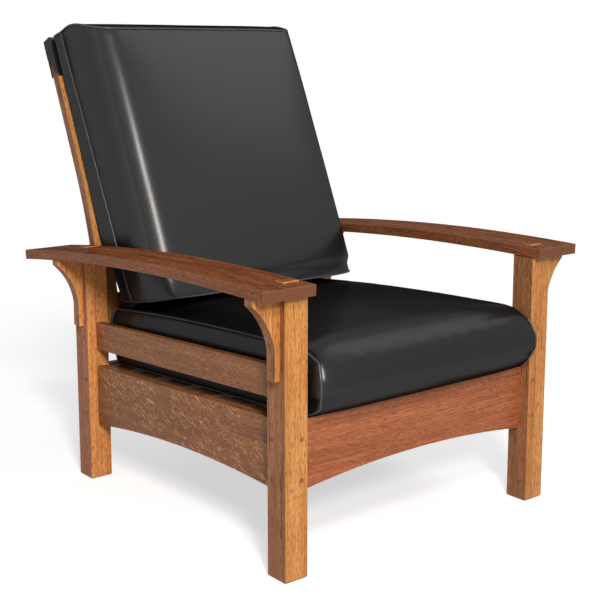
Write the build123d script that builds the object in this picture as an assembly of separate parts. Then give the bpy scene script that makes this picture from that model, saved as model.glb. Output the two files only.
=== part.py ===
"""Mission reclining armchair with bow arms, an adjustable back and loose leather cushions.

Millimetres. X runs across the chair, the sitter faces -Y, Z is up and the floor is at zero.
The origin is on the floor below the middle of the whole chair.
"""
import os
from math import atan2, cos, hypot, radians, sin, sqrt, tan

from build123d import *

# Main frame, measured over the posts
frame_width = 738.0
frame_depth = 790.0
front_reach = 491.8
post_width = 54.0
foot_chamfer = 3.0

# Rails: their top edges fall towards the rear
rail_fall = 3.0
rail_set_back = 23.0
rail_thickness = 22.0
rail_height = 140.0
front_rail_top = 309.5
front_arch_rise = 20.0
side_arch_rise = 18.5
arch_margin = 14.0
side_slat_height = 63.0
side_slat_gap = 41.0
side_slat_thickness = 18.0

# Joints of the main frame
rail_tenon_length = 20.0
rail_tenon_thickness = 10.0
rail_tenon_shoulder = 16.0
side_tenon_length = 30.0
side_tenon_thickness = 8.0
side_tenon_inset = 2.0
slat_tenon_shoulder = 8.0
peg_diameter = 9.5
peg_edge = 14.5
peg_end_margin = 30.0
front_peg_depth = 38.0
side_peg_depth = 33.0
peg_proud = 0.8

# Bow arms, given by their undersides
arm_thickness = 22.0
arm_front_overhang = 20.5
arm_rear_overhang = 115.0
arm_front_height = 554.0
arm_rear_height = 511.5
arm_bow = 17.5
arm_outer_overhang = 64.0
arm_inner_overhang = 4.0
arm_edge_round = 1.6
arm_tenon_width = 38.0
arm_tenon_depth = 24.0
arm_tenon_proud = 3.0
arm_tenon_chamfer = 1.2
arm_tenon_root = 16.0

# Corbels under the arms, on the outer faces of the posts
corbel_thickness = 25.0
corbel_set_back = 14.0
corbel_reach = 62.0
corbel_drop = 160.0
corbel_nose = 13.0
corbel_foot = 12.0
corbel_curve_drop = 105.0
corbel_belly_reach = 27.0
corbel_belly_drop = 57.0

# Seat deck
cleat_size = 20.0
cleat_end_gap = 4.0
deck_slat_count = 6
deck_slat_width = 78.0
deck_slat_thickness = 12.0
deck_front_gap = 14.0
deck_rear_gap = 14.0
deck_side_gap = 0.5
cleat_screw_count = 4
screw_diameter = 4.0
screw_head_diameter = 8.0
screw_head_depth = 3.0
screw_length = 34.0

# Back frame
back_angle = 23.7
foot_angle = 15.0
pivot_from_rear = 26.0
pivot_height = 345.0
pivot_diameter = 12.0
pivot_in_post = 18.0
pivot_play = 0.05
spacer_diameter = 34.0
spacer_play = 0.1
stile_width = 40.0
stile_depth = 25.0
stile_to_post = 11.0
stile_heel = 22.0
stile_straight = 218.0
stile_bend_length = 180.0
stile_upper_length = 321.0
back_rail_thickness = 20.0
back_rail_recess = 2.5
back_slat_thickness = 12.0
back_slat_recess = 4.0
back_top_rail_height = 68.0
back_top_rail_margin = 8.0
back_bottom_rail_height = 56.0
back_bottom_rail_start = 30.0
back_slat_count = 5
back_slat_height = 60.0
back_tenon_length = 14.0

# Adjusting bar behind the stiles, with its pins in a notched slot in each arm
recline_travel = 15.0
lane_middle_behind = 74.0
bar_diameter = 19.0
bar_end_gap = 1.5
bar_contact_gap = 0.05
pin_diameter = 8.0
pin_play = 0.06
pin_in_arm = 11.0
pin_in_bar = 26.0
slot_depth_gap = 1.5
slot_end_gap = 1.0
slot_notch_count = 4
slot_notch_drop = 1.6

# Seat cushion
soft_gap = 0.3
cushion_shares = (-1, -0.94, -0.82, -0.5, 0, 0.5, 0.82, 0.94, 1)
shoulder_power = 8
seat_side_gap = 15.0
seat_thickness = 142.0
seat_nose_from_front = 26.0
seat_rear_margin = 60.0
seat_crown = 14.0
seat_edge_crown = 2.0
seat_rear_bulge = 6.0
seat_end_inset = 12.0
seat_end_drop = 16.0

# Back cushion: heights along its front face and depths behind that face
back_cushion_side_gap = 25.0
back_cushion_ahead = 246.0
back_cushion_sink = 1.5
back_cushion_length = 654.0
back_cushion_crest = 700.0
back_cushion_rear_top = 708.5
back_cushion_depth = 184.17
back_front_crown = 12.0
back_edge_fullness = 0.1
back_side_ease = 9.6
back_side_roll = 42.0
back_end_inset = 5.0
back_end_trim = 7.0
crest_depth_share = 0.45
rear_depth_shares = [
    (0.86, 0.996),
    (0.74, 1.002),
    (0.60, 1.012),
    (0.47, 1.014),
    (0.33, 1.016),
    (0.20, 1.020),
    (0.11, 1.012),
]
rear_foot_height = 45.6
rear_foot_depth_share = 0.98
underside_height = 10.0
underside_depth_share = 0.38

# Leather hood over the top of the back frame
hood_thickness = 3.0
hood_flap = 92.0
hood_gusset = 72.0

overrun = 4.0

# Derived places
half_width = frame_width / 2
inner_half_width = half_width - post_width
front_y = -front_reach
rear_y = front_y + frame_depth
fall = tan(radians(rail_fall))
post_mid = post_width / 2
rail_outer_x = half_width - rail_set_back
rail_inner_x = rail_outer_x - rail_thickness
arm_outer_x = half_width + arm_outer_overhang
arm_inner_x = inner_half_width - arm_inner_overhang
stile_outer_x = inner_half_width - stile_to_post
stile_inner_x = stile_outer_x - stile_width
front_post_rear_y = front_y + post_width
rear_post_front_y = rear_y - post_width
slat_top = front_rail_top + side_slat_gap + side_slat_height
seat_half_width = inner_half_width - seat_side_gap
back_cushion_half_width = inner_half_width - back_cushion_side_gap
back_cushion_base = front_rail_top + seat_thickness - back_cushion_sink
rail_bottom = front_rail_top - rail_height


def falling(y, height_at_front):
    """Height of a falling edge at depth y."""
    return height_at_front - (y - front_y) * fall


def block(x_from, x_to, y_from, y_to, z_from, z_to):
    """Box between two opposite corners."""
    size = Box(x_to - x_from, y_to - y_from, z_to - z_from)
    return Pos((x_from + x_to) / 2, (y_from + y_to) / 2, (z_from + z_to) / 2) * size


def side_extrusion(edges, x_from, x_to):
    """Closed outline of edges in depth and height, pulled across from x_from to x_to."""
    face = Plane.YZ.offset(x_from) * make_face(edges)
    return extrude(face, amount=x_to - x_from)


def side_polygon(points, x_from, x_to):
    """Polygon in depth and height, pulled across."""
    return side_extrusion(Polyline(*points, close=True), x_from, x_to)


def front_extrusion(edges, y_from, y_to):
    """Closed outline of edges in width and height, pulled from y_to forward to y_from."""
    sheet = Plane((0, y_to, 0), x_dir=(1, 0, 0), z_dir=(0, -1, 0))
    return extrude(sheet * make_face(edges), amount=y_to - y_from)


def rod_x(radius, x_from, x_to, y, z):
    """Round rod along X."""
    rod = Cylinder(radius, x_to - x_from, rotation=(0, 90, 0))
    return Pos((x_from + x_to) / 2, y, z) * rod


def rod_y(radius, y_from, y_to, x, z):
    """Round rod along Y."""
    rod = Cylinder(radius, y_to - y_from, rotation=(90, 0, 0))
    return Pos(x, (y_from + y_to) / 2, z) * rod


def on_deck(shape):
    """Moves a shape drawn on the level deck to the deck that falls to the rear."""
    return Pos(0, front_y, front_rail_top) * Rot(-rail_fall, 0, 0) * shape


def mirrored(shape):
    """The same shape on the other side of the chair."""
    return mirror(shape, about=Plane.YZ)


def minus(shape, cutters):
    """Shape with every cutter taken away."""
    for cutter in cutters:
        shape = shape - cutter
    return shape


def group(shapes):
    """Separate solids kept together as one node."""
    return Compound(children=[solid for shape in shapes for solid in shape.solids()])


# Bow arms
arm_start = (front_y - arm_front_overhang, arm_front_height)
arm_end = (rear_y + arm_rear_overhang, arm_rear_height)
arm_middle_y = (arm_start[0] + arm_end[0]) / 2
arm_chord = hypot(arm_end[0] - arm_start[0], arm_end[1] - arm_start[1])
arm_radius = (arm_chord**2 / 4 + arm_bow**2) / (2 * arm_bow)
arm_tilt = atan2(arm_end[1] - arm_start[1], arm_end[0] - arm_start[0])
arm_centre_y = arm_middle_y + (arm_radius - arm_bow) * sin(arm_tilt)
arm_centre_z = (arm_start[1] + arm_end[1]) / 2 - (arm_radius - arm_bow) * cos(arm_tilt)
arm_roof = arm_front_height + 2 * post_width


def arm_line(y, rise):
    """Height at depth y of the arc that lies rise above the arms' underside."""
    return arm_centre_z + sqrt((arm_radius + rise) ** 2 - (y - arm_centre_y) ** 2)


def arm_corner(point, rise):
    """Corner of an arm's end face, rise above the underside."""
    grown = (arm_radius + rise) / arm_radius
    y = arm_centre_y + (point[0] - arm_centre_y) * grown
    z = arm_centre_z + (point[1] - arm_centre_z) * grown
    return (y, z)


def arm_blank():
    """Left arm before its mortises and slot are cut."""
    high_front = arm_corner(arm_start, arm_thickness)
    high_rear = arm_corner(arm_end, arm_thickness)
    edges = [
        ThreePointArc(arm_start, (arm_middle_y, arm_line(arm_middle_y, 0)), arm_end),
        Line(arm_end, high_rear),
        ThreePointArc(high_rear, (arm_middle_y, arm_line(arm_middle_y, arm_thickness)), high_front),
        Line(high_front, arm_start),
    ]
    blank = side_extrusion(edges, -arm_outer_x, -arm_inner_x)
    return fillet(blank.edges(), arm_edge_round)


def space_above_arm():
    """Everything over the underside of the left arm, to trim posts and corbels."""
    edges = [
        ThreePointArc(arm_start, (arm_middle_y, arm_line(arm_middle_y, 0)), arm_end),
        Line(arm_end, (arm_end[0], arm_roof)),
        Line((arm_end[0], arm_roof), (arm_start[0], arm_roof)),
        Line((arm_start[0], arm_roof), arm_start),
    ]
    return side_extrusion(edges, -arm_outer_x - overrun, 0)


# Rails and slats of the main frame
def cross_rail(y_face, arch):
    """Front or rear rail with its stub tenons, trimmed to the falling deck."""
    y_far = y_face + rail_thickness
    top = falling(y_face, front_rail_top)
    low = top - rail_height
    end = inner_half_width
    arch_end = end - arch_margin
    lower = [Line((-end, low), (end, low))]
    if arch:
        lower = [
            Line((-end, low), (-arch_end, low)),
            ThreePointArc((-arch_end, low), (0, low + arch), (arch_end, low)),
            Line((arch_end, low), (end, low)),
        ]
    edges = lower + [
        Line((end, low), (end, top + overrun)),
        Line((end, top + overrun), (-end, top + overrun)),
        Line((-end, top + overrun), (-end, low)),
    ]
    rail = front_extrusion(edges, y_face, y_far)
    tenon_front = y_face + (rail_thickness - rail_tenon_thickness) / 2
    tenon_rear = tenon_front + rail_tenon_thickness
    tenon_low = low + rail_tenon_shoulder
    tenon_top = top - rail_tenon_shoulder
    for side in (-1, 1):
        x_shoulder = side * (end - overrun)
        x_end = side * (end + rail_tenon_length)
        x_from = min(x_shoulder, x_end)
        x_to = max(x_shoulder, x_end)
        rail = rail + block(x_from, x_to, tenon_front, tenon_rear, tenon_low, tenon_top)
    above = on_deck(block(-frame_width, frame_width, 0, frame_depth, 0, rail_height))
    return rail - above


def side_board(height_at_front, height, thickness, arch):
    """Left side rail or slat between the posts, without tenons."""
    start = front_post_rear_y
    stop = rear_post_front_y
    low_at_front = height_at_front - height
    low_start = (start, falling(start, low_at_front))
    low_stop = (stop, falling(stop, low_at_front))
    lower = [Line(low_start, low_stop)]
    if arch:
        arch_start = (start + arch_margin, falling(start + arch_margin, low_at_front))
        arch_stop = (stop - arch_margin, falling(stop - arch_margin, low_at_front))
        middle = (start + stop) / 2
        arch_top = (middle, falling(middle, low_at_front) + arch)
        lower = [
            Line(low_start, arch_start),
            ThreePointArc(arch_start, arch_top, arch_stop),
            Line(arch_stop, low_stop),
        ]
    high_start = (start, falling(start, height_at_front))
    high_stop = (stop, falling(stop, height_at_front))
    edges = lower + [
        Line(low_stop, high_stop),
        Line(high_stop, high_start),
        Line(high_start, low_start),
    ]
    return side_extrusion(edges, -rail_outer_x, -rail_outer_x + thickness)


def side_tenons(height_at_front, height, shoulder):
    """Both tenons of a left side board."""
    x_from = -rail_outer_x + side_tenon_inset
    x_to = x_from + side_tenon_thickness
    spans = [
        (front_post_rear_y - side_tenon_length, front_post_rear_y + overrun),
        (rear_post_front_y - overrun, rear_post_front_y + side_tenon_length),
    ]
    top = height_at_front - shoulder
    low = height_at_front - height + shoulder
    tenons = []
    for start, stop in spans:
        corners = [
            (start, falling(start, low)),
            (stop, falling(stop, low)),
            (stop, falling(stop, top)),
            (start, falling(start, top)),
        ]
        tenons.append(side_polygon(corners, x_from, x_to))
    return tenons


# Pegs through the joints of the left posts
def cross_rail_pegs(y_face, inward, rail_face):
    """Pegs driven through a post's front or rear face into the rail's tenon."""
    x = -inner_half_width - peg_edge
    y_out = y_face - inward * peg_proud
    y_in = y_face + inward * front_peg_depth
    top = falling(rail_face, front_rail_top)
    heights = (top - peg_end_margin, top - rail_height + peg_end_margin)
    y_from = min(y_out, y_in)
    y_to = max(y_out, y_in)
    return [rod_y(peg_diameter / 2, y_from, y_to, x, z) for z in heights]


def side_pegs(y):
    """Pegs driven through a post's outer face into the side rail and the slat."""
    marks = [
        slat_top - side_slat_height / 2,
        front_rail_top - peg_end_margin,
        rail_bottom + peg_end_margin,
    ]
    x_out = -half_width - peg_proud
    x_in = -half_width + side_peg_depth
    return [rod_x(peg_diameter / 2, x_out, x_in, y, falling(y, mark)) for mark in marks]


# Posts with through tenons, and corbels
def arm_tenon(y_mid, low, top):
    """Block in the place of a post's through tenon, from low to top."""
    x_mid = -half_width + post_mid
    half_x = arm_tenon_width / 2
    half_y = arm_tenon_depth / 2
    return block(x_mid - half_x, x_mid + half_x, y_mid - half_y, y_mid + half_y, low, top)


def post(y_mid, roof):
    """Left post with a chamfered foot and a through tenon for the arm."""
    shaft = block(-half_width, -inner_half_width, y_mid - post_mid, y_mid + post_mid, 0, arm_roof)
    shaft = chamfer(shaft.faces().sort_by(Axis.Z)[0].edges(), foot_chamfer) - roof
    low = arm_line(y_mid, 0) - arm_tenon_root
    top = arm_line(y_mid, arm_thickness) + arm_tenon_proud
    tenon = arm_tenon(y_mid, low, top)
    tenon = chamfer(tenon.faces().sort_by(Axis.Z)[-1].edges(), arm_tenon_chamfer)
    return shaft + tenon


def corbel(y_from, roof):
    """Left corbel with a hollow curve below the arm."""
    top = arm_line(y_from, 0)
    foot = (-half_width - corbel_foot, top - corbel_drop)
    curve_end = (-half_width - corbel_foot, top - corbel_curve_drop)
    belly = (-half_width - corbel_belly_reach, top - corbel_belly_drop)
    nose = (-half_width - corbel_reach, top - corbel_nose)
    high = top + overrun
    edges = [
        Line((-half_width, foot[1]), foot),
        Line(foot, curve_end),
        ThreePointArc(curve_end, belly, nose),
        Line(nose, (nose[0], high)),
        Line((nose[0], high), (-half_width, high)),
        Line((-half_width, high), (-half_width, foot[1])),
    ]
    return front_extrusion(edges, y_from, y_from + corbel_thickness) - roof


# Seat deck
deck_start = post_width + deck_front_gap
deck_stop = frame_depth - post_width - deck_rear_gap
deck_pitch = (deck_stop - deck_start - deck_slat_width) / (deck_slat_count - 1)


def deck_slat(index):
    """One loose slat of the seat deck."""
    start = deck_start + index * deck_pitch
    reach = rail_inner_x - deck_side_gap
    return on_deck(block(-reach, reach, start, start + deck_slat_width, -deck_slat_thickness, 0))


def cleat_screws():
    """Countersunk screws of the left cleat."""
    head_x = -rail_inner_x + cleat_size
    first = deck_start + deck_slat_width / 2
    step = (deck_stop - deck_slat_width / 2 - first) / (cleat_screw_count - 1)
    z = -deck_slat_thickness - cleat_size / 2
    screws = []
    for index in range(cleat_screw_count):
        y = first + index * step
        shank = rod_x(screw_diameter / 2, head_x - screw_length, head_x, y, z)
        head = Cone(screw_diameter / 2, screw_head_diameter / 2, screw_head_depth)
        head = Pos(head_x - screw_head_depth / 2, y, z) * Rot(0, 90, 0) * head
        screws.append(on_deck(shank + head))
    return screws


def cleat():
    """Left cleat that carries the deck slats."""
    start = post_width + cleat_end_gap
    stop = frame_depth - post_width - cleat_end_gap
    high = -deck_slat_thickness
    return on_deck(block(-rail_inner_x, -rail_inner_x + cleat_size, start, stop, high - cleat_size, high))


# Back frame, drawn along the middle line of its bent stiles
pivot = (rear_y - pivot_from_rear, pivot_height)
bend_radius = stile_bend_length / radians(back_angle - foot_angle)
stile_length = stile_straight + stile_bend_length + stile_upper_length


def along(start, angle, distance, ahead):
    """Point at a distance up a leaning line and ahead of it."""
    y = start[0] + distance * sin(angle) - ahead * cos(angle)
    z = start[1] + distance * cos(angle) + ahead * sin(angle)
    return (y, z)


def back_point(distance, ahead):
    """Point of the back frame, distance above the pivot along the stile and ahead of its middle."""
    low = radians(foot_angle)
    high = radians(back_angle)
    if distance <= stile_straight:
        return along(pivot, low, distance, ahead)
    knee = along(pivot, low, stile_straight, 0)
    centre = along(knee, low, 0, -bend_radius)
    if distance <= stile_straight + stile_bend_length:
        angle = low + (distance - stile_straight) / bend_radius
        return along(centre, angle, 0, bend_radius + ahead)
    bend_end = along(centre, high, 0, bend_radius)
    rest = distance - stile_straight - stile_bend_length
    return along(bend_end, high, rest, ahead)


def stile():
    """Left stile: straight foot, gentle bend at arm height, straight upper part."""
    half = stile_depth / 2
    bend_middle = stile_straight + stile_bend_length / 2
    bend_stop = stile_straight + stile_bend_length
    heel_front = back_point(-(stile_heel - half), half)
    heel_tip = back_point(-stile_heel, 0)
    heel_rear = back_point(-(stile_heel - half), -half)
    knee_front = back_point(stile_straight, half)
    knee_rear = back_point(stile_straight, -half)
    bend_front = back_point(bend_stop, half)
    bend_rear = back_point(bend_stop, -half)
    top_front = back_point(stile_length, half)
    top_rear = back_point(stile_length, -half)
    edges = [
        Line(heel_front, knee_front),
        ThreePointArc(knee_front, back_point(bend_middle, half), bend_front),
        Line(bend_front, top_front),
        Line(top_front, top_rear),
        Line(top_rear, bend_rear),
        ThreePointArc(bend_rear, back_point(bend_middle, -half), knee_rear),
        Line(knee_rear, heel_rear),
        ThreePointArc(heel_rear, heel_tip, heel_front),
    ]
    return side_extrusion(edges, -stile_outer_x, -stile_inner_x)


def back_bar(start, height, thickness, recess):
    """Rail or slat between the stiles, with its ends let into them."""
    front = stile_depth / 2 - recess
    rear = front - thickness
    reach = stile_inner_x + back_tenon_length
    corners = [
        back_point(start, front),
        back_point(start + height, front),
        back_point(start + height, rear),
        back_point(start, rear),
    ]
    return side_polygon(corners, -reach, reach)


# Adjusting bar and its slot
lane_middle_y = rear_y + lane_middle_behind
lane_middle = (lane_middle_y, arm_line(lane_middle_y, arm_thickness / 2))
lane_angle = -atan2(lane_middle_y - arm_centre_y, lane_middle[1] - arm_centre_z)
lane_along = (cos(lane_angle), sin(lane_angle))


def lane_place(recline):
    """Distance of the bar along the lane at which it just meets the stiles."""
    angle = radians(foot_angle + recline)
    reach = stile_depth / 2 + bar_diameter / 2 + bar_contact_gap
    offset = (lane_middle[0] - pivot[0]) * cos(angle) - (lane_middle[1] - pivot[1]) * sin(angle)
    rate = lane_along[0] * cos(angle) - lane_along[1] * sin(angle)
    return (reach - offset) / rate


def lane_point(distance, lift):
    """Point at a distance along the lane and lift above it."""
    y = lane_middle[0] + distance * lane_along[0] - lift * lane_along[1]
    z = lane_middle[1] + distance * lane_along[1] + lift * lane_along[0]
    return (y, z)


bar_rest = lane_place(0)
bar_out = lane_place(recline_travel)
bar_stroke = bar_out - bar_rest
bar_place = lane_point(bar_rest, 0)


def lane_slot():
    """Notched slot in the inner edge of the left arm."""
    x_from = -arm_inner_x - pin_in_arm - slot_depth_gap
    x_to = -arm_inner_x + overrun
    radius = pin_diameter / 2 + pin_play
    start = bar_rest - slot_end_gap
    stop = bar_out + slot_end_gap
    corners = [
        lane_point(start, -radius),
        lane_point(stop, -radius),
        lane_point(stop, radius),
        lane_point(start, radius),
    ]
    slot = side_polygon(corners, x_from, x_to)
    rounds = [lane_point(start, 0), lane_point(stop, 0)]
    step = bar_stroke / (slot_notch_count - 1)
    for index in range(slot_notch_count):
        rounds.append(lane_point(bar_rest + index * step, -slot_notch_drop))
    for place in rounds:
        slot = slot + rod_x(radius, x_from, x_to, place[0], place[1])
    return slot


def bar_pin():
    """Left end pin of the adjusting bar."""
    x_out = -arm_inner_x - pin_in_arm
    x_in = -arm_inner_x + bar_end_gap + pin_in_bar
    return rod_x(pin_diameter / 2, x_out, x_in, bar_place[0], bar_place[1])


def adjusting_bar(pins):
    """Round bar across the chair behind the stiles."""
    reach = arm_inner_x - bar_end_gap
    bar = rod_x(bar_diameter / 2, -reach, reach, bar_place[0], bar_place[1])
    return minus(bar, pins)


# Cushions
def fullness(share):
    """Part of a cushion's crown at a share of its half width."""
    return 1 - share**2


def shoulder(share):
    """Part of a cushion's rounding towards its side seams at a share of its half width."""
    return abs(share) ** shoulder_power


def seat_section(share):
    """Outline of the seat cushion at a share of its half width, on the level deck."""
    inset = seat_end_inset * shoulder(share)
    low = soft_gap
    high = soft_gap + seat_thickness - seat_end_drop * shoulder(share)
    crown = seat_edge_crown + (seat_crown - seat_edge_crown) * fullness(share)
    half = (high - low) / 2
    nose = seat_nose_from_front + inset
    rear = frame_depth - seat_rear_margin - inset
    middle = (nose + rear) / 2
    edges = [
        Line((rear, low), (nose, low)),
        ThreePointArc((nose, low), (nose - half, low + half), (nose, high)),
        ThreePointArc((nose, high), (middle, high + crown), (rear, high)),
        ThreePointArc((rear, high), (rear + seat_rear_bulge, low + half), (rear, low)),
    ]
    return Plane.YZ.offset(seat_half_width * share) * make_face(edges)


def seat_cushion():
    """Loose box cushion with a full round front."""
    return on_deck(loft([seat_section(share) for share in cushion_shares]))


def cushion_point(height, depth):
    """Point of the back cushion by height along its front face and depth behind it."""
    angle = radians(back_angle)
    return along((rear_y - back_cushion_ahead, back_cushion_base), angle, height, -depth)


def back_section(share):
    """Outline of the back cushion at a share of its half width."""
    full = back_edge_fullness + (1 - back_edge_fullness) * fullness(share)
    inset = back_end_inset * shoulder(share)
    trim = back_end_trim * shoulder(share)
    ease = back_side_ease * shoulder(share)
    length = back_cushion_length
    front_low = cushion_point(trim, inset)
    front_middle = cushion_point(length / 2, inset - back_front_crown * full)
    front_high = cushion_point(length - trim, inset)
    crest = cushion_point(back_cushion_crest - trim, back_cushion_depth * crest_depth_share)
    rear_high = cushion_point(back_cushion_rear_top - trim, back_cushion_depth)
    rear_low = cushion_point(rear_foot_height + trim, back_cushion_depth * rear_foot_depth_share)
    underside = cushion_point(underside_height + trim, back_cushion_depth * underside_depth_share)
    rear_points = [rear_high]
    for height_share, depth_share in rear_depth_shares:
        height = back_cushion_rear_top * height_share
        rear_points.append(cushion_point(height, back_cushion_depth * depth_share - ease))
    rear_points.append(rear_low)
    edges = [
        ThreePointArc(front_low, front_middle, front_high),
        ThreePointArc(front_high, crest, rear_high),
        Spline(*rear_points),
        ThreePointArc(rear_low, underside, front_low),
    ]
    return Plane.YZ.offset(back_cushion_half_width * share) * make_face(edges)


def back_cushion():
    """Loose back cushion, thin at its foot and full at its head, with rolled front edges."""
    body = loft([back_section(share) for share in cushion_shares])
    edge_depth = back_end_inset - back_front_crown * back_edge_fullness
    edge_middle = cushion_point(back_cushion_length / 2, edge_depth)
    front_edges = []
    for side in (-1, 1):
        place = (side * back_cushion_half_width, *edge_middle)
        front_edges.append(body.edges().sort_by_distance(place)[0])
    return body.fillet(back_side_roll, front_edges)


def hood():
    """Leather hood sewn to the back cushion, over the top of the back frame."""
    half = stile_depth / 2
    low = stile_length + soft_gap
    high = low + hood_thickness
    rear = -half - soft_gap - hood_thickness
    reach = stile_outer_x + soft_gap + hood_thickness
    shell = [
        back_point(low, half),
        back_point(high, half),
        back_point(high, rear),
        back_point(stile_length - hood_flap, rear),
        back_point(stile_length - hood_flap, rear + hood_thickness),
        back_point(low, rear + hood_thickness),
    ]
    gusset = [
        back_point(high, half),
        back_point(high, rear),
        back_point(stile_length - hood_gusset, rear),
    ]
    cover = side_polygon(shell, -reach, reach)
    for x_from in (-reach, reach - hood_thickness):
        cover = cover + side_polygon(gusset, x_from, x_from + hood_thickness)
    return cover


def build():
    """All pieces by node name."""
    roof = space_above_arm()
    front_mid = front_y + post_mid
    rear_mid = rear_y - post_mid
    rear_rail_face = rear_y - rail_set_back - rail_thickness
    front_rail_face = front_y + rail_set_back
    rail_front = cross_rail(front_rail_face, front_arch_rise)
    rail_rear = cross_rail(rear_rail_face, 0)
    rail_tenons = side_tenons(front_rail_top, rail_height, rail_tenon_shoulder)
    slat_tenons = side_tenons(slat_top, side_slat_height, slat_tenon_shoulder)
    rail_side = side_board(front_rail_top, rail_height, rail_thickness, side_arch_rise)
    slat_side = side_board(slat_top, side_slat_height, side_slat_thickness, 0)
    for tenon in rail_tenons:
        rail_side = rail_side + tenon
    for tenon in slat_tenons:
        slat_side = slat_side + tenon
    front_pegs = cross_rail_pegs(front_y, 1, front_rail_face)
    front_pegs = front_pegs + side_pegs(front_post_rear_y - peg_edge)
    rear_pegs = cross_rail_pegs(rear_y, -1, rear_rail_face)
    rear_pegs = rear_pegs + side_pegs(rear_post_front_y + peg_edge)
    pegs = front_pegs + rear_pegs
    both_pegs = pegs + [mirrored(peg) for peg in pegs]
    screws = cleat_screws()

    pin_x = -inner_half_width - pivot_in_post
    pivot_pin = rod_x(pivot_diameter / 2, pin_x, -stile_inner_x, *pivot)
    spacer_end = -stile_outer_x - spacer_play
    spacer = rod_x(spacer_diameter / 2, -inner_half_width, spacer_end, *pivot) - pivot_pin
    stile_hole_radius = pivot_diameter / 2 + pivot_play
    stile_hole = rod_x(stile_hole_radius, -stile_outer_x - overrun, -stile_inner_x + overrun, *pivot)

    post_front = minus(post(front_mid, roof), [rail_front, rail_side, slat_side] + front_pegs)
    rear_cutters = [rail_rear, rail_side, slat_side, pivot_pin] + rear_pegs
    post_rear = minus(post(rear_mid, roof), rear_cutters)
    rail_side = minus(rail_side, pegs + screws)
    slat_side = minus(slat_side, pegs)
    rail_front = minus(rail_front, both_pegs)
    rail_rear = minus(rail_rear, both_pegs)

    mortises = [arm_tenon(y, 0, arm_roof) for y in (front_mid, rear_mid)]
    arm = minus(arm_blank(), mortises + [lane_slot()])

    rail_start = stile_length - back_top_rail_margin - back_top_rail_height
    slat_start = back_bottom_rail_start + back_bottom_rail_height
    free = rail_start - slat_start - back_slat_count * back_slat_height
    slat_space = free / (back_slat_count + 1)
    slat_pitch = back_slat_height + slat_space
    bars = {
        "back_top_rail": back_bar(
            rail_start, back_top_rail_height, back_rail_thickness, back_rail_recess
        ),
        "back_bottom_rail": back_bar(
            back_bottom_rail_start, back_bottom_rail_height, back_rail_thickness, back_rail_recess
        ),
    }
    for index in range(back_slat_count):
        start = slat_start + slat_space + index * slat_pitch
        bars[f"back_slat_{index + 1}"] = back_bar(
            start, back_slat_height, back_slat_thickness, back_slat_recess
        )
    back_stile = minus(stile(), [stile_hole] + list(bars.values()))

    pin = bar_pin()
    left = {
        "post_front": post_front,
        "post_rear": post_rear,
        "corbel_front": corbel(front_y + corbel_set_back, roof),
        "corbel_rear": corbel(rear_mid - corbel_thickness / 2, roof),
        "arm": arm,
        "side_rail": rail_side,
        "side_slat": slat_side,
        "seat_cleat": minus(cleat(), screws),
        "pivot_pin": pivot_pin,
        "pivot_spacer": spacer,
        "back_stile": back_stile,
        "adjusting_pin": pin,
    }
    nodes = {}
    for name, shape in left.items():
        nodes[f"{name}_left"] = shape
        nodes[f"{name}_right"] = mirrored(shape)
    nodes["front_rail"] = rail_front
    nodes["rear_rail"] = rail_rear
    nodes["joint_pegs"] = group(both_pegs)
    nodes["cleat_screws"] = group(screws + [mirrored(screw) for screw in screws])
    for index in range(deck_slat_count):
        nodes[f"seat_slat_{index + 1}"] = deck_slat(index)
    nodes.update(bars)
    nodes["adjusting_bar"] = adjusting_bar([pin, mirrored(pin)])
    nodes["seat_cushion"] = seat_cushion()
    nodes["back_cushion"] = back_cushion()
    nodes["back_cushion_hood"] = hood()
    return nodes


os.makedirs("parts", exist_ok=True)
pieces = build()
for piece_name, piece in pieces.items():
    export_step(piece, f"parts/{piece_name}.step")
print(len(pieces), "nodes")
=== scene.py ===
# %% [markdown]
# # Mission reclining armchair
# The chair is an oak frame with two bowed arms, a slatted back that leans in steps, and two loose
# cushions in black leather. The wooden pieces come from the measured model and only need their
# finish. The cushions and the hood are soft, so they are built here as leather covers that are
# blown up by a cloth simulation and then get their seams.

# %% Open the chair
from math import cos, pi, radians, sin

import bpy
import numpy as np
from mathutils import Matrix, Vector
from mathutils.bvhtree import BVHTree


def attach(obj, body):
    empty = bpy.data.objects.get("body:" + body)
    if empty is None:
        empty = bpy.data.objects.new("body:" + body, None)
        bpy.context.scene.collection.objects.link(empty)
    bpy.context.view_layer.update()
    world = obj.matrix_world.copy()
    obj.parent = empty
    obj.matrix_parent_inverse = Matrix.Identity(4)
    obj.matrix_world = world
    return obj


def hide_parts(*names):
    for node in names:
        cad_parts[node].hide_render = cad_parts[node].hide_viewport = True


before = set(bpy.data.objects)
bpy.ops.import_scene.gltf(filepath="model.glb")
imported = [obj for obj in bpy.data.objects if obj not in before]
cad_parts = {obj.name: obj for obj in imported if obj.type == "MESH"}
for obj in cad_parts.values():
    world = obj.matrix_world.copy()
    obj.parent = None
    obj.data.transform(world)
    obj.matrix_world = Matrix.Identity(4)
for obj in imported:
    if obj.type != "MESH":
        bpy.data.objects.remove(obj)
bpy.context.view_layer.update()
scene = bpy.context.scene

# %% [markdown]
# ## Camera
# The photograph was fitted with one camera: it stands ahead and to the left of the chair, at about
# the height of its back, and looks down a little. The fit gives the lens as a length in pixels.
# The sensor's height stands for the height of the picture, which turns that into millimetres. The
# small shift brings the chair to its place in the frame: the lens looks straight at row 262.

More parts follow.
